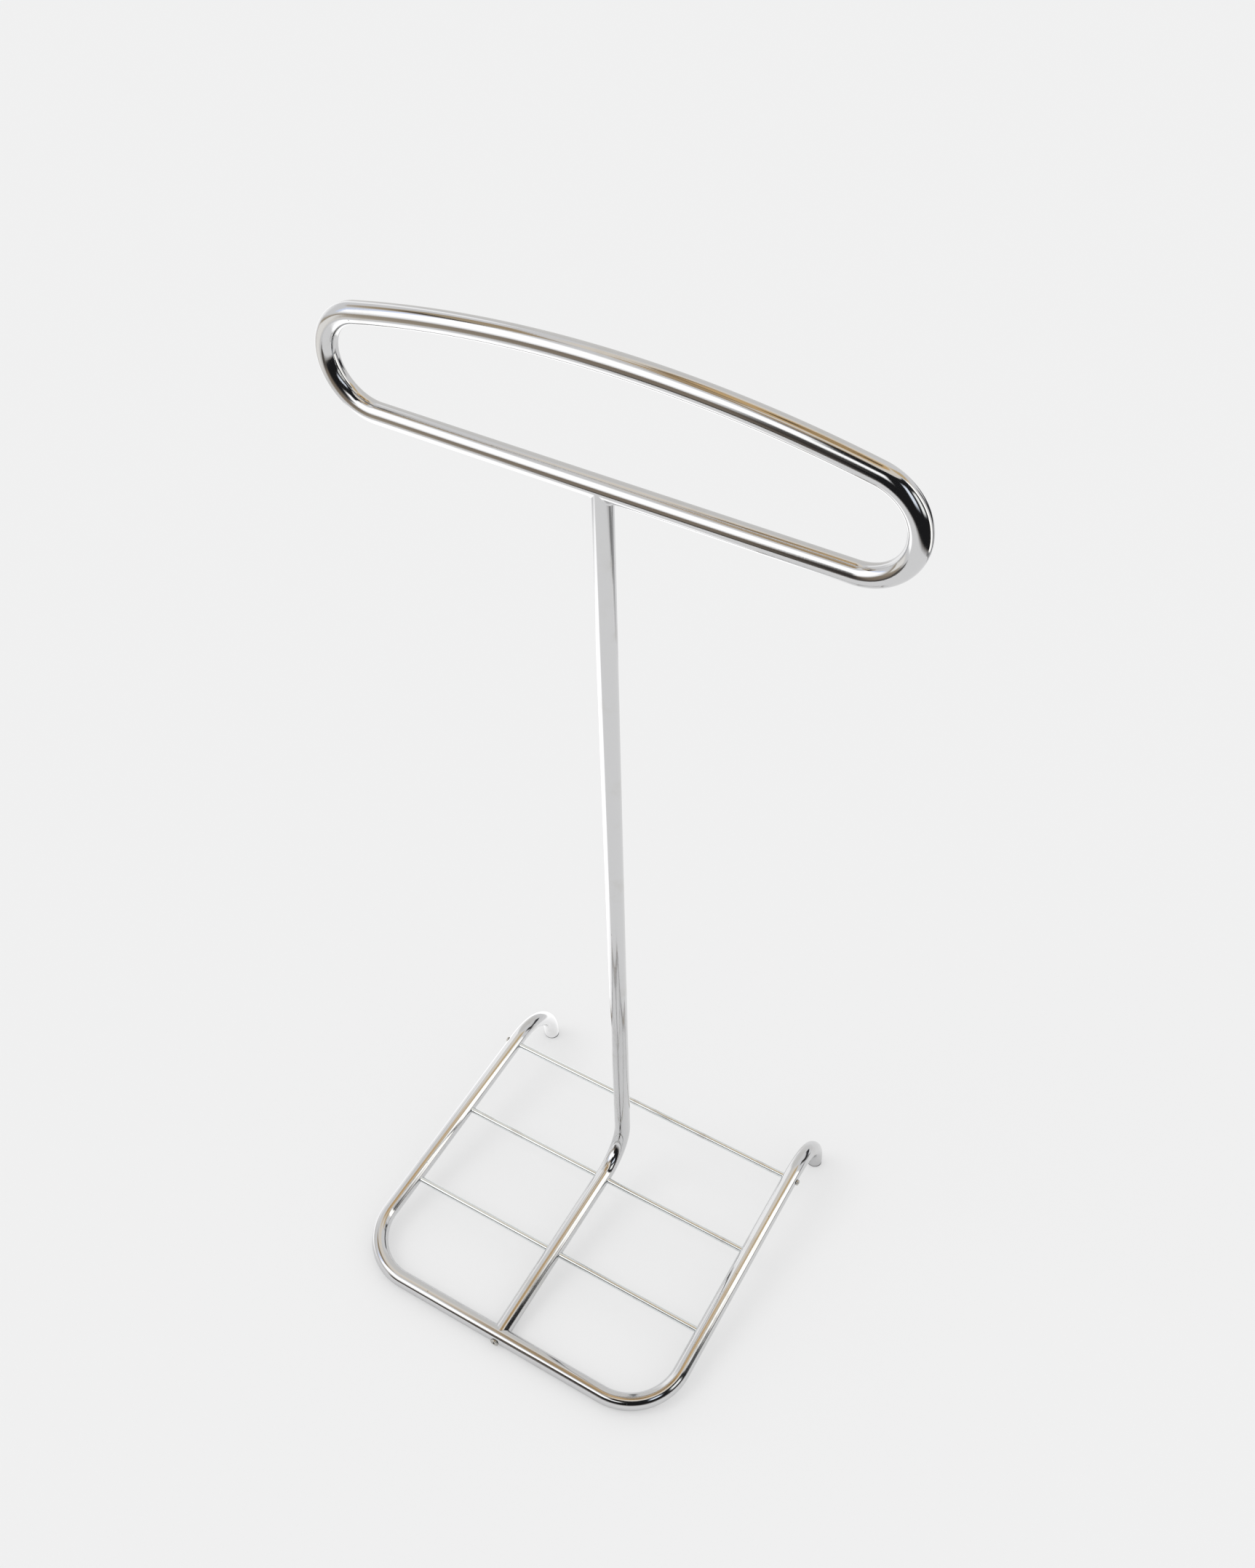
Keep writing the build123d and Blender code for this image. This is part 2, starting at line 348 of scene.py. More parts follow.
tubeChrome = {
    "colour": (0.67, 0.67, 0.675, 1),
    "roughness": (0.07, 0.11),
    "polishScale": (2600.0, 40.0, 1.0),
    "polishSpan": (0.3, 0.7),
    "polishDepth": 0.0000008,
    "waveScale": 32.0,
    "waveDepth": 0.00012,
    "rippleScale": (60.0, 620.0, 1.0),
    "rippleSpread": 14.0,
    "rippleSpan": (0.45, 0.65),
    "rippleDepth": 0.000002,
    "smudgeScale": 26.0,
    "smudgeSpan": (0.52, 0.72),
    "smudgeColour": (0.63, 0.625, 0.615, 1),
    "smudgeRoughness": 0.05,
    "pitScale": 170.0,
    "pitSize": 0.05,
    "pitRarity": 0.97,
    "pitColour": (0.25, 0.22, 0.19, 1),
    "pitRoughness": 0.4,
}
loopChrome = dict(tubeChrome, rippleDepth=0.000012)
rodChrome = dict(tubeChrome, colour=(0.8, 0.83, 0.835, 1), roughness=(0.17, 0.23))
rodChrome.update(waveScale=45.0, waveDepth=0.0001)


# Plated screw steel: duller, with turning marks round the axis, and painted shade darkening the cross recess
def screwPlate(name, look):
    material, tree = newMaterial(name)
    marks = noise(tree, stretchedUv(tree, look["markScale"]), detail=3.0)
    stain = noise(tree, objectPlace(tree), look["stainScale"], detail=4.0)
    # painted shade: the recess mask darkens the cross recess towards near black, and roughens it
    recessShade = put(tree, "ShaderNodeAttribute", attribute_name="recess").outputs["Fac"]
    colour = mixColour(tree, mapRange(tree, stain, look["stainSpan"]), look["colour"], look["stainColour"])
    colour = mixColour(tree, recessShade, colour, look["recessShadeColour"])
    rough = mapRange(tree, marks, look["markSpan"], look["roughness"], "LINEAR")
    rough = mathNode(tree, "MULTIPLY_ADD", recessShade, look["recessShadeRoughness"], rough)
    shade(tree, colour, rough, bump(tree, marks, look["markDepth"]), 1.0)
    return material


screwNickel = {
    "colour": (0.6, 0.59, 0.56, 1),
    "roughness": (0.16, 0.3),
    "markScale": (60.0, 5000.0, 1.0),
    "markSpan": (0.3, 0.7),
    "markDepth": 0.000003,
    "stainScale": 400.0,
    "stainSpan": (0.4, 0.7),
    "stainColour": (0.46, 0.44, 0.4, 1),
    # near black painted into the cross recess as its shade
    "recessShadeColour": (0.05, 0.045, 0.04, 1),
    "recessShadeRoughness": 0.3,
}
plugZinc = dict(screwNickel, colour=(0.56, 0.57, 0.58, 1), stainColour=(0.47, 0.48, 0.5, 1))
plugZinc.update(roughness=(0.3, 0.45))


# Moulded plastic: a fine grain, paler where it has scuffed
def mouldedPlastic(name, look):
    material, tree = newMaterial(name)
    place = objectPlace(tree)
    grain = noise(tree, place, look["grainScale"], detail=3.0)
    scuff = noise(tree, place, look["scuffScale"], detail=5.0)
    colour = mixColour(tree, mapRange(tree, scuff, look["scuffSpan"]), look["colour"], look["scuffColour"])
    rough = mapRange(tree, scuff, look["dullSpan"], look["roughness"], "LINEAR")
    shade(tree, colour, rough, bump(tree, grain, look["grainDepth"]), 0.0)
    return material


capBlack = {
    "colour": (0.035, 0.035, 0.038, 1),
    "roughness": (0.38, 0.6),
    "dullSpan": (0.3, 0.7),
    "grainScale": 2200.0,
    "grainDepth": 0.00004,
    "scuffScale": 300.0,
    "scuffSpan": (0.5, 0.75),
    "scuffColour": (0.09, 0.088, 0.085, 1),
}
chrome = chromePlate("chrome_tube", tubeChrome)
loopPlate = chromePlate("chrome_loop", loopChrome)
rodPlate = chromePlate("chrome_rod", rodChrome)
nickel = screwPlate("screw_nickel", screwNickel)
zinc = screwPlate("plug_zinc", plugZinc)
blackPlastic = mouldedPlastic("cap_plastic", capBlack)
print("materials made")

baseTube = {
    "cornerRadius": 0.055,
    "footLeg": 0.007,
    "legLean": radians(12),  # the feet's ends stand to the rear of their hooks
    "capFlange": 0.001,      # cap's thickness at its front
    "capEdge": 0.0004,
}
lean = baseTube["legLean"]
upLeg = np.array((0, -sin(lean), cos(lean)))
soleY = footHigh.y - tubeR / cos(lean) + baseTube["capEdge"] * sin(lean)  # leg's axis at the floor
tubeEndZ = baseTube["capFlange"] + tubeR * sin(lean)
tubeEnd = np.array((sideX, soleY - tubeEndZ * tan(lean), tubeEndZ))


# Base: foot, hook, side tube, corner, crossbar, and the same back to the other foot. The side's
# and the leg's lines meet in the hook's corner, and the hook's radius leaves the leg its length.
def makeBaseTube():
    corner, leg = baseTube["cornerRadius"], baseTube["footLeg"]
    hookAngle = pi / 2 + slope - lean
    toHook = (soleY - crossbar[1] - tubeR * tan(lean)) / (cos(slope) + sin(slope) * tan(lean))
    legRun = (tubeR + toHook * sin(slope) - tubeEndZ) / cos(lean)
    hook = (legRun - leg) / tan(hookAngle / 2)
    sideRun = toHook - (legRun - leg) - corner
    moves = [
        (leg,),
        (hook, hookAngle, across),
        (sideRun,),
        (corner, pi / 2, offRack),
        (2 * (sideX - corner),),
        (corner, pi / 2, offRack),
        (sideRun,),
        (hook, hookAngle, -across),
        (leg,),
    ]
    line = feedLine(tubeEnd * (-1, 1, 1), upLeg, across, moves)
    makePiece("base_tube", [openTube(line, squareEnd, squareEnd)], chrome, "chrome_tube", "base_frame")


makeBaseTube()

postTube = {"bendRadius": 0.04, "copeGap": 0.0001, "headSink": 0.00005}


# Post: both ends are coped to a bar across them, so each is cut back by the height of that bar's
# circle above the side plane: the root of its radius squared less the height squared.
def makePostTube():
    bend = postTube["bendRadius"]
    legRun = np.dot(barMiddle - crossbar, upSlope) - bend
    uprightRun = np.dot(barMiddle - crossbar, offRack) - bend
    line = feedLine(crossbar, upSlope, across, [(legRun,), (bend, pi / 2, across), (uprightRun,)])

    def footCope(height):
        return np.sqrt((tubeR + postTube["copeGap"]) ** 2 - height**2)

    def headCope(height):
        return np.sqrt(np.maximum((tubeR - postTube["headSink"]) ** 2 - height**2, 0))

    makePiece("post_tube", [openTube(line, footCope, headCope)], chrome, "chrome_tube", "post")


makePostTube()

hangerTube = {"endRadius": 0.038}


# Hanger loop: a straight bar, a round end, a shallow arch and the other end, closed on itself.
# The arch is the circle through the crown that is tangent inside to both end circles.
def makeHangerTube():
    end = hangerTube["endRadius"]
    height = (loopHigh.z - tubeR - barMiddle[2]) / cos(slope)
    half = loopHigh.x - tubeR - end
    rise = height - 2 * end
    arch = (half**2 + height**2) / (2 * rise) - height * end / rise
    archStart = asin((end - height + arch) / (arch - end))
    ends = (end, pi / 2 + archStart, -upSlope)
    moves = [(2 * half,), ends, (arch, pi - 2 * archStart, -upSlope), ends]
    line = feedLine(barMiddle - half * across, across, offRack, moves)
    rings = ringPlaces(line)[:, None]
    angles = roundAngles(tubeStock["sides"])[None, :]
    along = np.broadcast_to(rings, (len(rings), angles.shape[1]))
    points = wallPoints(line, along, angles, tubeR)[:-1, :-1]
    shell = gridShell(points, True, True, wallUv(along, angles))
    makePiece("hanger_tube", [shell], loopPlate, "chrome_tube", "hanger_loop")


makeHangerTube()

weldFillet = {
    "radius": 0.003,
    "sink": 0.0004,   # how deep a crescent's back lies in the metal
    "closed": 1e-6,   # angle under which the groove has closed
    "rings": 72,
    "arcPoints": 12,
    "uvStep": 0.001,
}


# Weld: the groove that a ball leaves when it rolls round the joint, touching both tubes. Its centre
# runs where two tubes of the grown radius would meet. The back of each crescent lies in the metal.
def makeWeldFillet():
    ball, step = weldFillet["radius"], weldFillet["uvStep"]
    turn = np.linspace(-pi / 2, pi / 2, weldFillet["rings"])[:, None, None]
    share = np.linspace(0, 1, weldFillet["arcPoints"])[None, :, None]
    shells = []
    for hand in (across, -across):
        offPost = np.cos(turn) * hand + np.sin(turn) * upSlope
        offBar = np.sin(turn) * upSlope - np.cos(turn) * offRack
        meeting = offPost - np.cos(turn) * offRack
        opening = np.arccos(np.clip((offPost * offBar).sum(-1, keepdims=True), -1, 1))
        width = np.maximum(np.sin(opening), tiny)
        swing = -(np.sin((1 - share) * opening) * offPost + np.sin(share * opening) * offBar) / width
        swing = np.where(opening < weldFillet["closed"], -offPost, swing)
        face = barMiddle + (tubeR + ball) * meeting + ball * swing
        back = barMiddle + (tubeR - weldFillet["sink"] * np.cos(turn)) * meeting
        points = np.concatenate([face, back], 1)
        rows, cols = points.shape[:2]
        uv = np.stack(np.meshgrid(np.arange(rows) * step, np.arange(cols + 1) * step, indexing="ij"), -1)
        shells.append(gridShell(points, False, True, uv))
    makePiece("weld_fillet", shells, chrome, "chrome_tube", "hanger_weld")


makeWeldFillet()

rackRod = {"chamfer": 0.0005, "sides": 48}


# Rods: straight, with a small chamfer at both ends, turned on a line across the stand
def makeRackRods():
    for name in rodNames:
        low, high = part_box(name)
        radius, half, cut = (high.z - low.z) / 2, high.x, rackRod["chamfer"]
        profile = [(-half, 0), (-half, radius - cut), (cut - half, radius)]
        profile += [(-along, r) for along, r in reversed(profile)]
        shell = turnedShell(rodMiddles[name] * (0, 1, 1), across, upSlope, profile, rackRod["sides"])
        makePiece(name.replace("_", "_rack_"), [shell], rodPlate, "chrome_rod", name)


makeRackRods()

panScrew = {
    "edgeShare": 0.45,     # straight rim of the head, as a share of its height
    "recessLength": 0.55,  # cross recess, as shares of the head's diameter
    "recessWidth": 0.17,
    "recessDepth": 0.6,    # of the head's height
    "recessTaper": 0.35,   # how much an arm narrows outwards
    "recessEdge": 0.035,   # width of the recess's sloping walls, as a share of the head's diameter
    "threadDepth": 0.12,   # as a share of the thread's diameter
    "tipShare": 0.2,
    "crownRings": 48,
    "shoulderRings": 14,
    "ringsPerTurn": 8,
    "sides": 96,
}
screwSizes = {
    "post_screw": {"thread": 0.005, "pitch": 0.0008, "length": 0.034, "head": 0.0085, "height": 0.0016},
    "left_rear_screw": {"thread": 0.003, "pitch": 0.0005, "length": 0.014, "head": 0.006, "height": 0.0022},
}
screwSizes["right_rear_screw"] = screwSizes["left_rear_screw"]


# Rises from 0 to 1 with level ends: three squares less two cubes
def smoothStep(value):
    value = np.clip(value, 0, 1)
    return value * value * (3 - 2 * value)


# How much of the cross recess is at a point of the head: two arms with sloping walls, each
# narrowing outwards, and the larger of the two where they cross
def crossRecess(x, y, head):
    reach, width = panScrew["recessLength"] * head / 2, panScrew["recessWidth"] * head / 2
    edge = panScrew["recessEdge"] * head

    def inside(limit, distance):
        return smoothStep((limit - np.abs(distance)) / edge + 1 / 2)

    def arm(along, beside):
        narrow = width * (1 - panScrew["recessTaper"] * np.abs(along) / reach)
        return inside(reach, along) * inside(narrow, beside)

    return np.maximum(arm(x, y), arm(y, x))


# Screw: a head turned from its crown to its seat, then a thread whose radius is a triangle wave of
# the height less the turn, and a blunt tip. The cross recess is taken off the crown.
def makeScrew(name, seat, outwards, side):
    size = screwSizes[name]
    headR, tall, threadR, pitch = size["head"] / 2, size["height"], size["thread"] / 2, size["pitch"]
    edge = tall * panScrew["edgeShare"]
    roundR, tip = tall - edge, size["thread"] * panScrew["tipShare"]
    crown = [(tall, r) for r in np.linspace(0, headR - roundR, panScrew["crownRings"])]
    shoulder = profileArc(edge, headR - roundR, roundR, pi / 2, 0, panScrew["shoulderRings"])
    threaded = size["length"] - tip
    shankRings = int(threaded / pitch * panScrew["ringsPerTurn"])
    shank = [(-z, threadR) for z in np.linspace(0, threaded, shankRings)]
    ends = [(-size["length"], threadR - tip), (-size["length"], 0)]
    profile = np.array(crown + shoulder[1:] + [(0, headR)] + shank + ends)
    angles = roundAngles(panScrew["sides"])[None, :]
    z = np.repeat(profile[:, :1], angles.shape[1], 1)
    r = np.repeat(profile[:, 1:], angles.shape[1], 1)
    recess = crossRecess(r * np.cos(angles), r * np.sin(angles), size["head"]) * (z >= tall - tiny)
    thread = 2 * np.abs((z / pitch - angles / (2 * pi)) % 1 - 1 / 2)
    onShank = (np.abs(r - threadR) < tiny) & (z < 0) & (z > tip - size["length"])
    r = r - onShank * thread * panScrew["threadDepth"] * size["thread"]
    z = z - recess * panScrew["recessDepth"] * tall
    other = np.cross(outwards, side)
    ring = np.cos(angles)[..., None] * side + np.sin(angles)[..., None] * other
    points = seat + z[..., None] * outwards + r[..., None] * ring
    uv = np.stack([np.broadcast_to(angles * headR, r.shape), r - z], -1)
    shell = gridShell(points[:, :-1], False, True, uv)
    piece = makePiece(name.replace("screw", "pan_screw"), [shell], nickel, "screw_nickel", name)
    # recess: how far each point of the crown lies in the cross recess, the mask for its painted shade
    co = np.empty(len(piece.data.vertices) * 3, np.float32)
    piece.data.vertices.foreach_get("co", co)
    local = co.reshape(-1, 3) - seat
    deep = crossRecess(local @ side, local @ other, size["head"]) * (local @ outwards > 0)
    piece.data.attributes.new("recess", "FLOAT", "POINT").data.foreach_set("value", deep.astype(np.float32))


makeScrew("post_screw", crossbar - tubeR * upSlope, -upSlope, across)
for screwName, hand in (("left_rear_screw", -1), ("right_rear_screw", 1)):
    screwSeat = rodMiddles["rear_rod"] * (0, 1, 1) + hand * (sideX + tubeR) * across
    makeScrew(screwName, screwSeat, hand * across, upSlope)

footCap = {"clearance": 0.00005, "groove": 0.0008, "ribs": 2, "sides": 72, "edgeRings": 7}


# Foot cap: a ribbed stem in the tube's bore over a wedge with a rounded lower edge. The wedge's
# points slide along the leg from the tube's end until each is at its own height above the floor.
def makeFootCaps():
    edge, sides = baseTube["capEdge"], footCap["sides"]
    stem, ribPitch = boreR - footCap["clearance"], baseTube["footLeg"] / footCap["ribs"]
    core = stem - footCap["groove"]
    sole = [(0, 0)] + profileArc(edge, tubeR - edge, edge, -pi / 2, 0, footCap["edgeRings"])
    profile = [(0, radius) for _, radius in sole] + [(0, tubeR)]
    for rib in range(footCap["ribs"]):
        low = rib * ribPitch
        middle = low + ribPitch / 2
        profile += [(low, core), (middle, core), (middle, stem), (low + ribPitch, stem)]
    profile += [(baseTube["footLeg"], 0)]
    heights = np.repeat([height for height, _ in sole], sides)
    for name, hand in (("left_foot_cap", -1), ("right_foot_cap", 1)):
        shell = turnedShell(tubeEnd * (hand, 1, 1), upLeg, across, profile, sides)
        wedge = shell[0][: len(heights)]
        wedge += ((heights - wedge[:, 2]) / upLeg[2])[:, None] * upLeg
        makePiece(name.replace("cap", "plug"), [shell], blackPlastic, "cap_plastic", name)


makeFootCaps()

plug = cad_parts["post_plug"]
plug.data.materials.clear()
plug.data.materials.append(zinc)
print("pieces made")


# A sheet of the stage, which the named kinds of rays pass by
def stageSheet(name, shell, material, hiddenFrom=()):
    mesh = shellMesh(name, *shell)
    mesh.materials.append(material)
    sheet = addObject(name, mesh)
    for rays in hiddenFrom:
        setattr(sheet, "visible_" + rays, False)


paleStage = {
    "floorHalf": 14.0,
    "floorPoints": 9,  # along each side
    "floorColour": (0.87, 0.87, 0.87, 1),
    "background": (0.87, 0.87, 0.872, 1),
    "glow": 0.45,      # share of even glow that the camera sees in the floor, so that shadows stay faint
}


# Floor: a square sheet well past the view on all sides
def makeFloor():
    steps = np.linspace(-paleStage["floorHalf"], paleStage["floorHalf"], paleStage["floorPoints"])
    x, y = np.meshgrid(steps, steps, indexing="ij")
    points = np.stack([x, y, np.zeros_like(x)], -1)
    material, tree = newMaterial("pale_floor")
    matt = put(tree, "ShaderNodeBsdfDiffuse", {"Color": paleStage["floorColour"]})
    glow = put(tree, "ShaderNodeEmission", {"Color": paleStage["background"], "Strength": 1.0})
    seen = put(tree, "ShaderNodeLightPath").outputs["Is Camera Ray"]
    share = mathNode(tree, "MULTIPLY", seen, paleStage["glow"])
    shader = put(tree, "ShaderNodeMixShader", {0: share, 1: matt.outputs[0], 2: glow.outputs[0]})
    put(tree, "ShaderNodeOutputMaterial", {0: shader.outputs[0]})
    stageSheet("floor", gridShell(points, False, False, points[..., :2]), material)


makeFloor()

# What the chrome mirrors: a round tent of cards with a low curb, a shelf behind it, a tall wall and a
# roof. Azimuth 0 is towards the front, positive to the right. Reach is walked from the floor: up the
# curb, over the shelf, up the wall and in under the roof. Later cards cover earlier ones.
tent = {
    "curbR": 1.1, "curbTop": 0.24,
    "wallR": 2.4, "wallTop": 4.9,
    "roofHole": 0.01,
    "columns": 361,
    "highCurb": 0.46,       # how much taller the curb is over this azimuth
    "highFrom": (-24, -10), "highTo": (60, 75),
    "wander": (2.0, 0.05),  # how far the cards' edges wander, in degrees and metres
    "wanderScale": 1.6,
    "pale": (0.82, 0.82, 0.825),
}
wall = tent["wallR"] - tent["curbR"]  # wall plus a height is the reach of that height on the wall
roof = wall + tent["wallTop"]
tentCards = [
    # bright left, a greyer rear wall and a bright strip between them
    {"az": (-138, -92), "reach": (-0.5, wall + 1.3), "soft": (9, 0.6), "colour": (1.12, 1.12, 1.12)},
    {"az": (-180, -128), "reach": (wall + 0.7, wall + 4.3), "soft": (5, 0.4), "colour": (0.76, 0.75, 0.73)},
    {"az": (-124, -112), "reach": (0.1, wall + 3.5), "soft": (3, 0.3), "colour": (1.2, 1.2, 1.2)},
    # low brown band round the front, with a light shelf at the left, darkening to the right
    {"az": (-86, 108), "reach": (0.3, wall + 0.7), "soft": (9, 0.2), "colour": (0.42, 0.36, 0.28)},
    {"az": (-84, -48), "reach": (0.22, wall + 0.42), "soft": (6, 0.08), "colour": (1.0, 0.98, 0.94)},
    {"az": (-36, 108), "reach": (0.16, wall + 0.75), "soft": (11, 0.2), "colour": (0.26, 0.215, 0.17)},
    {"az": (-34, -11), "reach": (-0.1, 0.3), "soft": (4, 0.06), "colour": (0.1, 0.09, 0.08)},
    {"az": (-13, 108), "reach": (0.14, wall + 0.8), "soft": (7, 0.2), "colour": (0.045, 0.04, 0.038)},
    # warm roof with brown patches and a dark ring
    {"az": (-180, 180), "reach": (roof, roof + 5), "soft": (1, 0.25), "colour": (0.9, 0.83, 0.73)},
    {"az": (-64, -26), "reach": (roof + 0.15, roof + 1.0), "soft": (6, 0.15), "colour": (0.52, 0.38, 0.22)},
    {"az": (-135, -25), "reach": (roof + 0.85, roof + 1.3), "soft": (12, 0.2), "colour": (0.3, 0.2, 0.1)},
    {"az": (-180, 180), "reach": (roof + 1.2, roof + 5), "soft": (1, 0.15), "colour": (0.7, 0.48, 0.24)},
    {"az": (-180, 180), "reach": (roof + 1.85, roof + 2.12), "soft": (1, 0.04), "colour": (0.1, 0.07, 0.04)},
    # brown, pale blue and dark patches high on the left and front
    {"az": (-92, -58), "reach": (wall + 3.1, wall + 4.4), "soft": (3, 0.3), "colour": (0.44, 0.33, 0.2)},
    {"az": (-40, 8), "reach": (wall + 4.2, roof + 0.25), "soft": (6, 0.25), "colour": (0.4, 0.28, 0.15)},
    {"az": (-86, -57), "reach": (wall + 2.4, wall + 3.8), "soft": (6, 0.25), "colour": (0.46, 0.37, 0.25)},
    {"az": (-64, -52), "reach": (wall + 1.1, wall + 2.6), "soft": (3, 0.2), "colour": (0.86, 0.95, 1.18)},
    {"az": (-78, -52), "reach": (wall + 2.75, wall + 3.1), "soft": (5, 0.1), "colour": (0.07, 0.06, 0.055)},
    # main highlight at the front left, dark beside it
    {"az": (-56, -3), "reach": (wall + 1.05, wall + 3.0), "soft": (2.5, 0.45), "colour": (1.6, 1.6, 1.6)},
    {"az": (-14, 10), "reach": (wall + 0.2, wall + 1.4), "soft": (4, 0.3), "colour": (0.07, 0.065, 0.06)},
    {"az": (-12, 10), "reach": (wall + 3.4, wall + 4.0), "soft": (5, 0.15), "colour": (0.1, 0.07, 0.045)},
    # black right side with three bright slits
    {"az": (-3, 106), "reach": (0.2, wall + 4.6), "soft": (2, 0.06), "colour": (0.015, 0.015, 0.016)},
    {"az": (-6, 14), "reach": (wall + 1.5, wall + 2.3), "soft": (4, 0.3), "colour": (1.5, 1.5, 1.5)},
    {"az": (48, 63), "reach": (wall + 1.2, wall + 2.9), "soft": (3, 0.3), "colour": (1.0, 1.08, 1.2)},
    {"az": (77, 94), "reach": (wall + 1.1, wall + 2.5), "soft": (3, 0.2), "colour": (1.2, 1.22, 1.2)},
    # right rear: a warm top, a bright strip and dark edges
    {"az": (118, 150), "reach": (wall + 3.0, roof + 0.85), "soft": (4, 0.5), "colour": (0.68, 0.52, 0.3)},
    {"az": (107, 120), "reach": (0.0, wall + 3.6), "soft": (1.5, 0.3), "colour": (1.6, 1.58, 1.52)},
    {"az": (98, 130), "reach": (0.03, 0.2), "soft": (4, 0.04), "colour": (0.25, 0.25, 0.25)},
    {"az": (138, 172), "reach": (wall + 0.35, wall + 1.1), "soft": (3, 0.15), "colour": (0.04, 0.04, 0.045)},
    {"az": (134, 145), "reach": (0.06, wall + 1.9), "soft": (2.5, 0.3), "colour": (0.03, 0.028, 0.025)},
]
mirrorsOnly = ("camera", "diffuse", "transmission", "volume_scatter", "shadow")  # rays that pass the cards by


# Cards as soft-edged rectangles in azimuth and in reach. With no base colour the rest is clear.
def cardMaterial(name, cards, base=None):
    material, tree = newMaterial(name)
    axes = put(tree, "ShaderNodeSeparateXYZ", {0: surfaceUv(tree)})
    values = {"Vector": objectPlace(tree), "Scale": tent["wanderScale"], "Detail": 3.0}
    stray = put(tree, "ShaderNodeTexNoise", values)
    parts = put(tree, "ShaderNodeSeparateColor", {0: stray.outputs["Color"]})
    measures = []
    for axis, size in enumerate(tent["wander"]):
        shifted = mathNode(tree, "SUBTRACT", parts.outputs[axis], 0.5)
        measures.append(mathNode(tree, "MULTIPLY_ADD", shifted, 2 * size, axes.outputs[axis]))
    colour = (*(base or cards[0]["colour"]), 1)
    for card in cards:
        cover = None
        for measure, span, soft in zip(measures, (card["az"], card["reach"]), card["soft"]):
            rise = mapRange(tree, measure, (span[0] - soft, span[0] + soft))
            fall = mapRange(tree, measure, (span[1] - soft, span[1] + soft), (1.0, 0.0))
            within = mathNode(tree, "MULTIPLY", rise, fall)
            cover = within if cover is None else mathNode(tree, "MULTIPLY", cover, within)
        colour = mixColour(tree, cover, colour, (*card["colour"], 1))
    glow = put(tree, "ShaderNodeEmission", {"Color": colour, "Strength": 1.0})
    if base is None:
        clear = put(tree, "ShaderNodeBsdfTransparent")
        glow = put(tree, "ShaderNodeMixShader", {0: cover, 1: clear.outputs[0], 2: glow.outputs[0]})
    put(tree, "ShaderNodeOutputMaterial", {0: glow.outputs[0]})
    return material


# Tent: a stepped profile of heights and radii turned round the stand. The curb's height changes
# with the azimuth. UV is the azimuth and the reach.
def makeTent():
    degrees = np.linspace(-180, 180, tent["columns"])
    angles = np.radians(degrees)
    risen = smoothStep(np.interp(degrees, tent["highFrom"], (0, 1)))
    risen = risen * smoothStep(np.interp(degrees, tent["highTo"], (1, 0)))
    curb = tent["curbTop"] + tent["highCurb"] * risen
    flat, top = np.zeros_like(curb), np.full_like(curb, tent["wallTop"])
    heights = np.stack([flat, curb, curb, top, top])
    radii = np.array((tent["curbR"],) * 2 + (tent["wallR"],) * 2 + (tent["roofHole"],))[:, None]
    steps = np.abs(np.diff(heights, axis=0)) + np.abs(np.diff(radii, axis=0))
    walked = np.concatenate([flat[None], np.cumsum(steps, 0)])
    points = np.stack([radii * np.sin(angles), -radii * np.cos(angles), heights], -1)
    uv = np.stack([np.broadcast_to(degrees, walked.shape), walked], -1)
    material = cardMaterial("tent_cards", tentCards, tent["pale"])
    stageSheet("tent", gridShell(points, False, False, uv), material, mirrorsOnly)


makeTent()

floorCard = {
    "radii": (0.08, 1.08), "rows": 12,
    "sweep": (-180, 0), "columns": 91,
    "lift": 0.0006,
    "az": (-162, -50), "reach": (0.25, 1.05), "soft": (6, 0.12), "colour": (1.5, 1.5, 1.5),
}


# Floor card: a flat sector of a ring just over the floor, clear outside its soft edges. Its reach is
# the radius.
def makeFloorCard():
    degrees = np.linspace(*floorCard["sweep"], floorCard["columns"])
    angles, radii = np.radians(degrees), np.linspace(*floorCard["radii"], floorCard["rows"])[:, None]
    x, y = radii * np.sin(angles), -radii * np.cos(angles)
    points = np.stack([x, y, np.full_like(x, floorCard["lift"])], -1)
    uv = np.stack(np.meshgrid(radii[:, 0], degrees, indexing="ij")[::-1], -1)
    material = cardMaterial("floor_card", [floorCard])
    stageSheet("floor_card", gridShell(points, False, False, uv), material, mirrorsOnly)


makeFloorCard()

studioLight = {
    "sky": 0.91,
    "key": 0.42,
    "keyAngle": radians(28),      # width of the key, which softens its shadows
    "keyAzimuth": radians(-42),   # to the left of the front
    "keyElevation": radians(48),
}


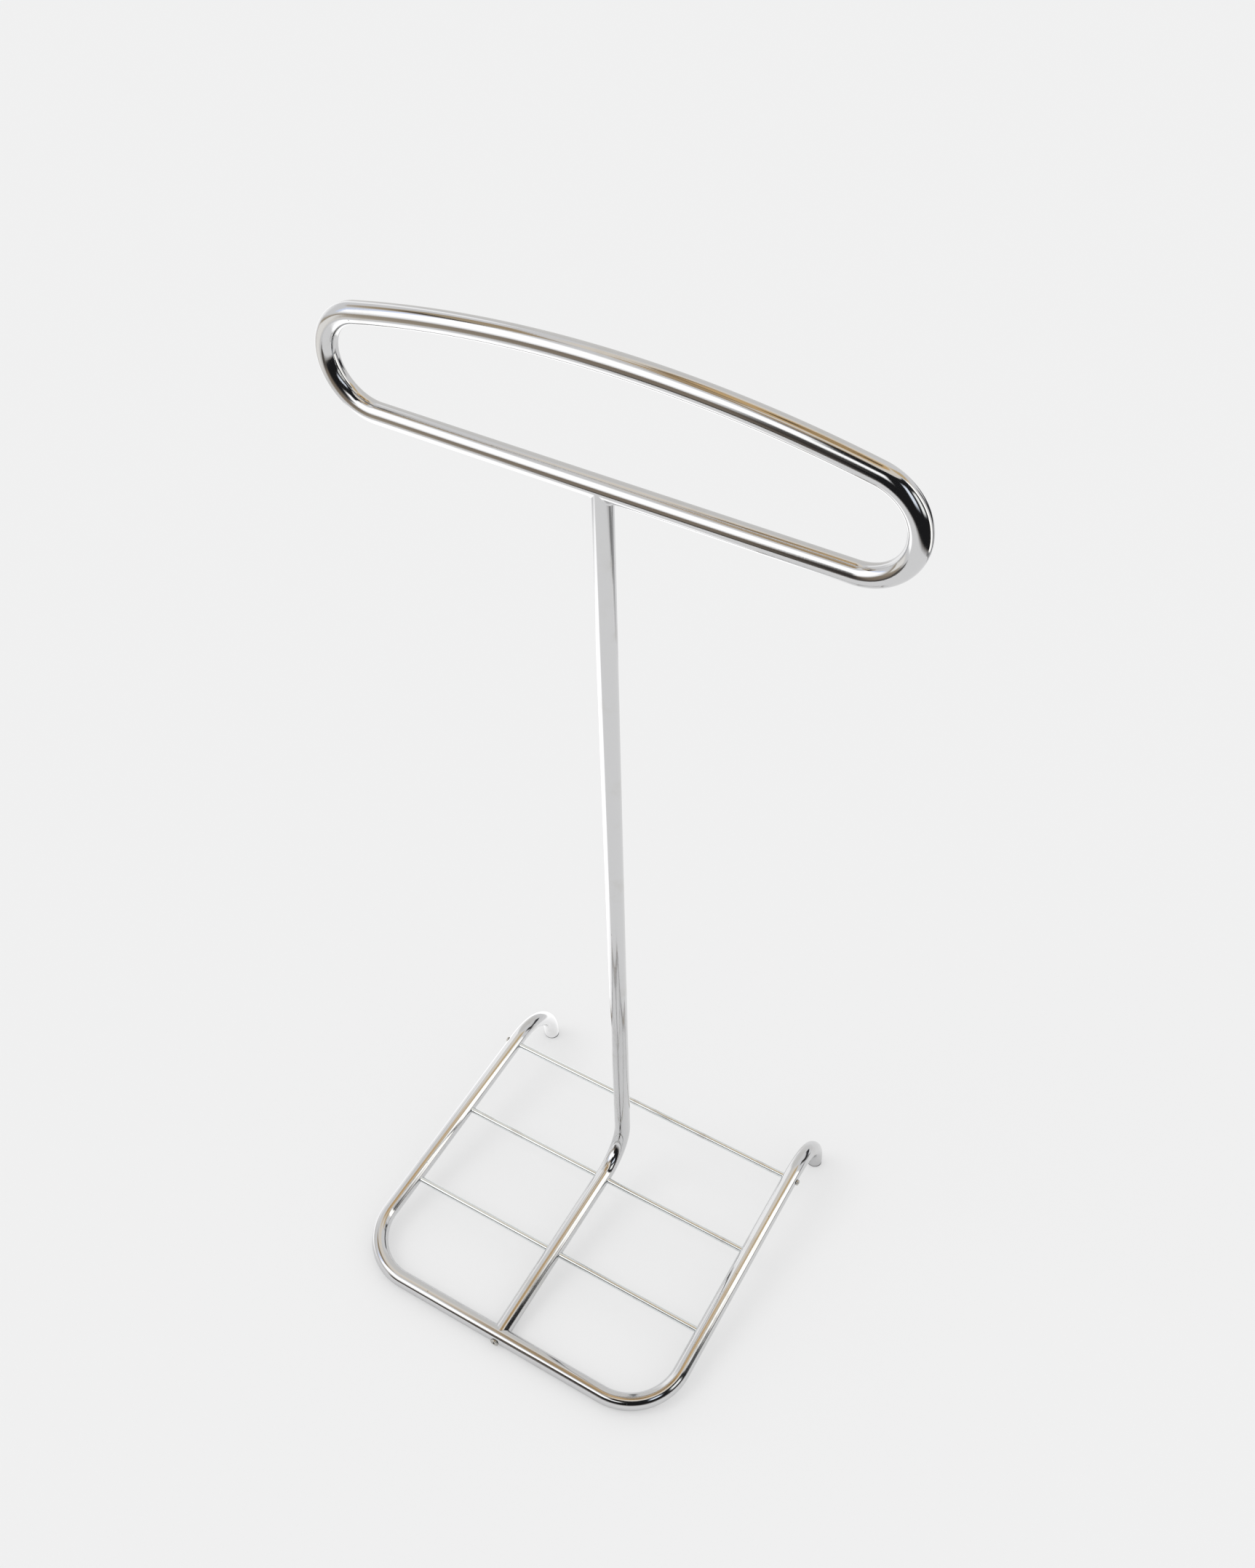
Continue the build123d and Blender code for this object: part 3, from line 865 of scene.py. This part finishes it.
# Light: an even sky and one wide, soft key from the front left, which mirrors don't show. The camera
# and mirrors see the sky in the background's colour.
def makeLight():
    world = bpy.data.worlds.new("studio")
    bpy.context.scene.world = world
    world.use_nodes = True
    tree = world.node_tree
    tree.nodes.clear()
    path = put(tree, "ShaderNodeLightPath")
    seen = mathNode(tree, "MAXIMUM", path.outputs["Is Camera Ray"], path.outputs["Is Glossy Ray"])
    seen = mathNode(tree, "MAXIMUM", seen, path.outputs["Is Transmission Ray"])
    sky = (studioLight["sky"],) * 3 + (1,)
    colour = mixColour(tree, seen, sky, paleStage["background"])
    ground = put(tree, "ShaderNodeBackground", {"Color": colour, "Strength": 1.0})
    put(tree, "ShaderNodeOutputWorld", {0: ground.outputs[0]})
    lamp = bpy.data.lights.new("key", "SUN")
    lamp.energy, lamp.angle = studioLight["key"], studioLight["keyAngle"]
    key = addObject("key", lamp)
    key.rotation_euler = (pi / 2 - studioLight["keyElevation"], 0, studioLight["keyAzimuth"])
    key.visible_glossy = False


makeLight()

camera = {
    "place": (0.43939, -0.89215, 1.33057),
    "azimuth": radians(26.655),    # turned to the left of straight ahead
    "elevation": radians(37.678),  # looking down
    "roll": radians(5.277),        # right side up
    "lens": 35.08,
}


# Camera: looks along ahead, with its right side tipped up out of the level by the roll
def makeCamera():
    azimuth, elevation, roll = camera["azimuth"], camera["elevation"], camera["roll"]
    ahead = np.array((-sin(azimuth) * cos(elevation), cos(azimuth) * cos(elevation), -sin(elevation)))
    level = np.array((cos(azimuth), sin(azimuth), 0))
    above = np.cross(level, ahead)
    right = level * cos(roll) + above * sin(roll)
    lens = bpy.data.cameras.new("camera")
    lens.lens = camera["lens"]
    view = addObject("camera", lens)
    turn = np.eye(4)
    turn[:3, :3] = np.stack([right, np.cross(right, ahead), -ahead], 1)
    turn[:3, 3] = camera["place"]
    view.matrix_world = Matrix(turn.tolist())
    bpy.context.scene.camera = view


makeCamera()
bpy.context.scene.view_settings.view_transform = "Standard"
print("stage, light and camera made")
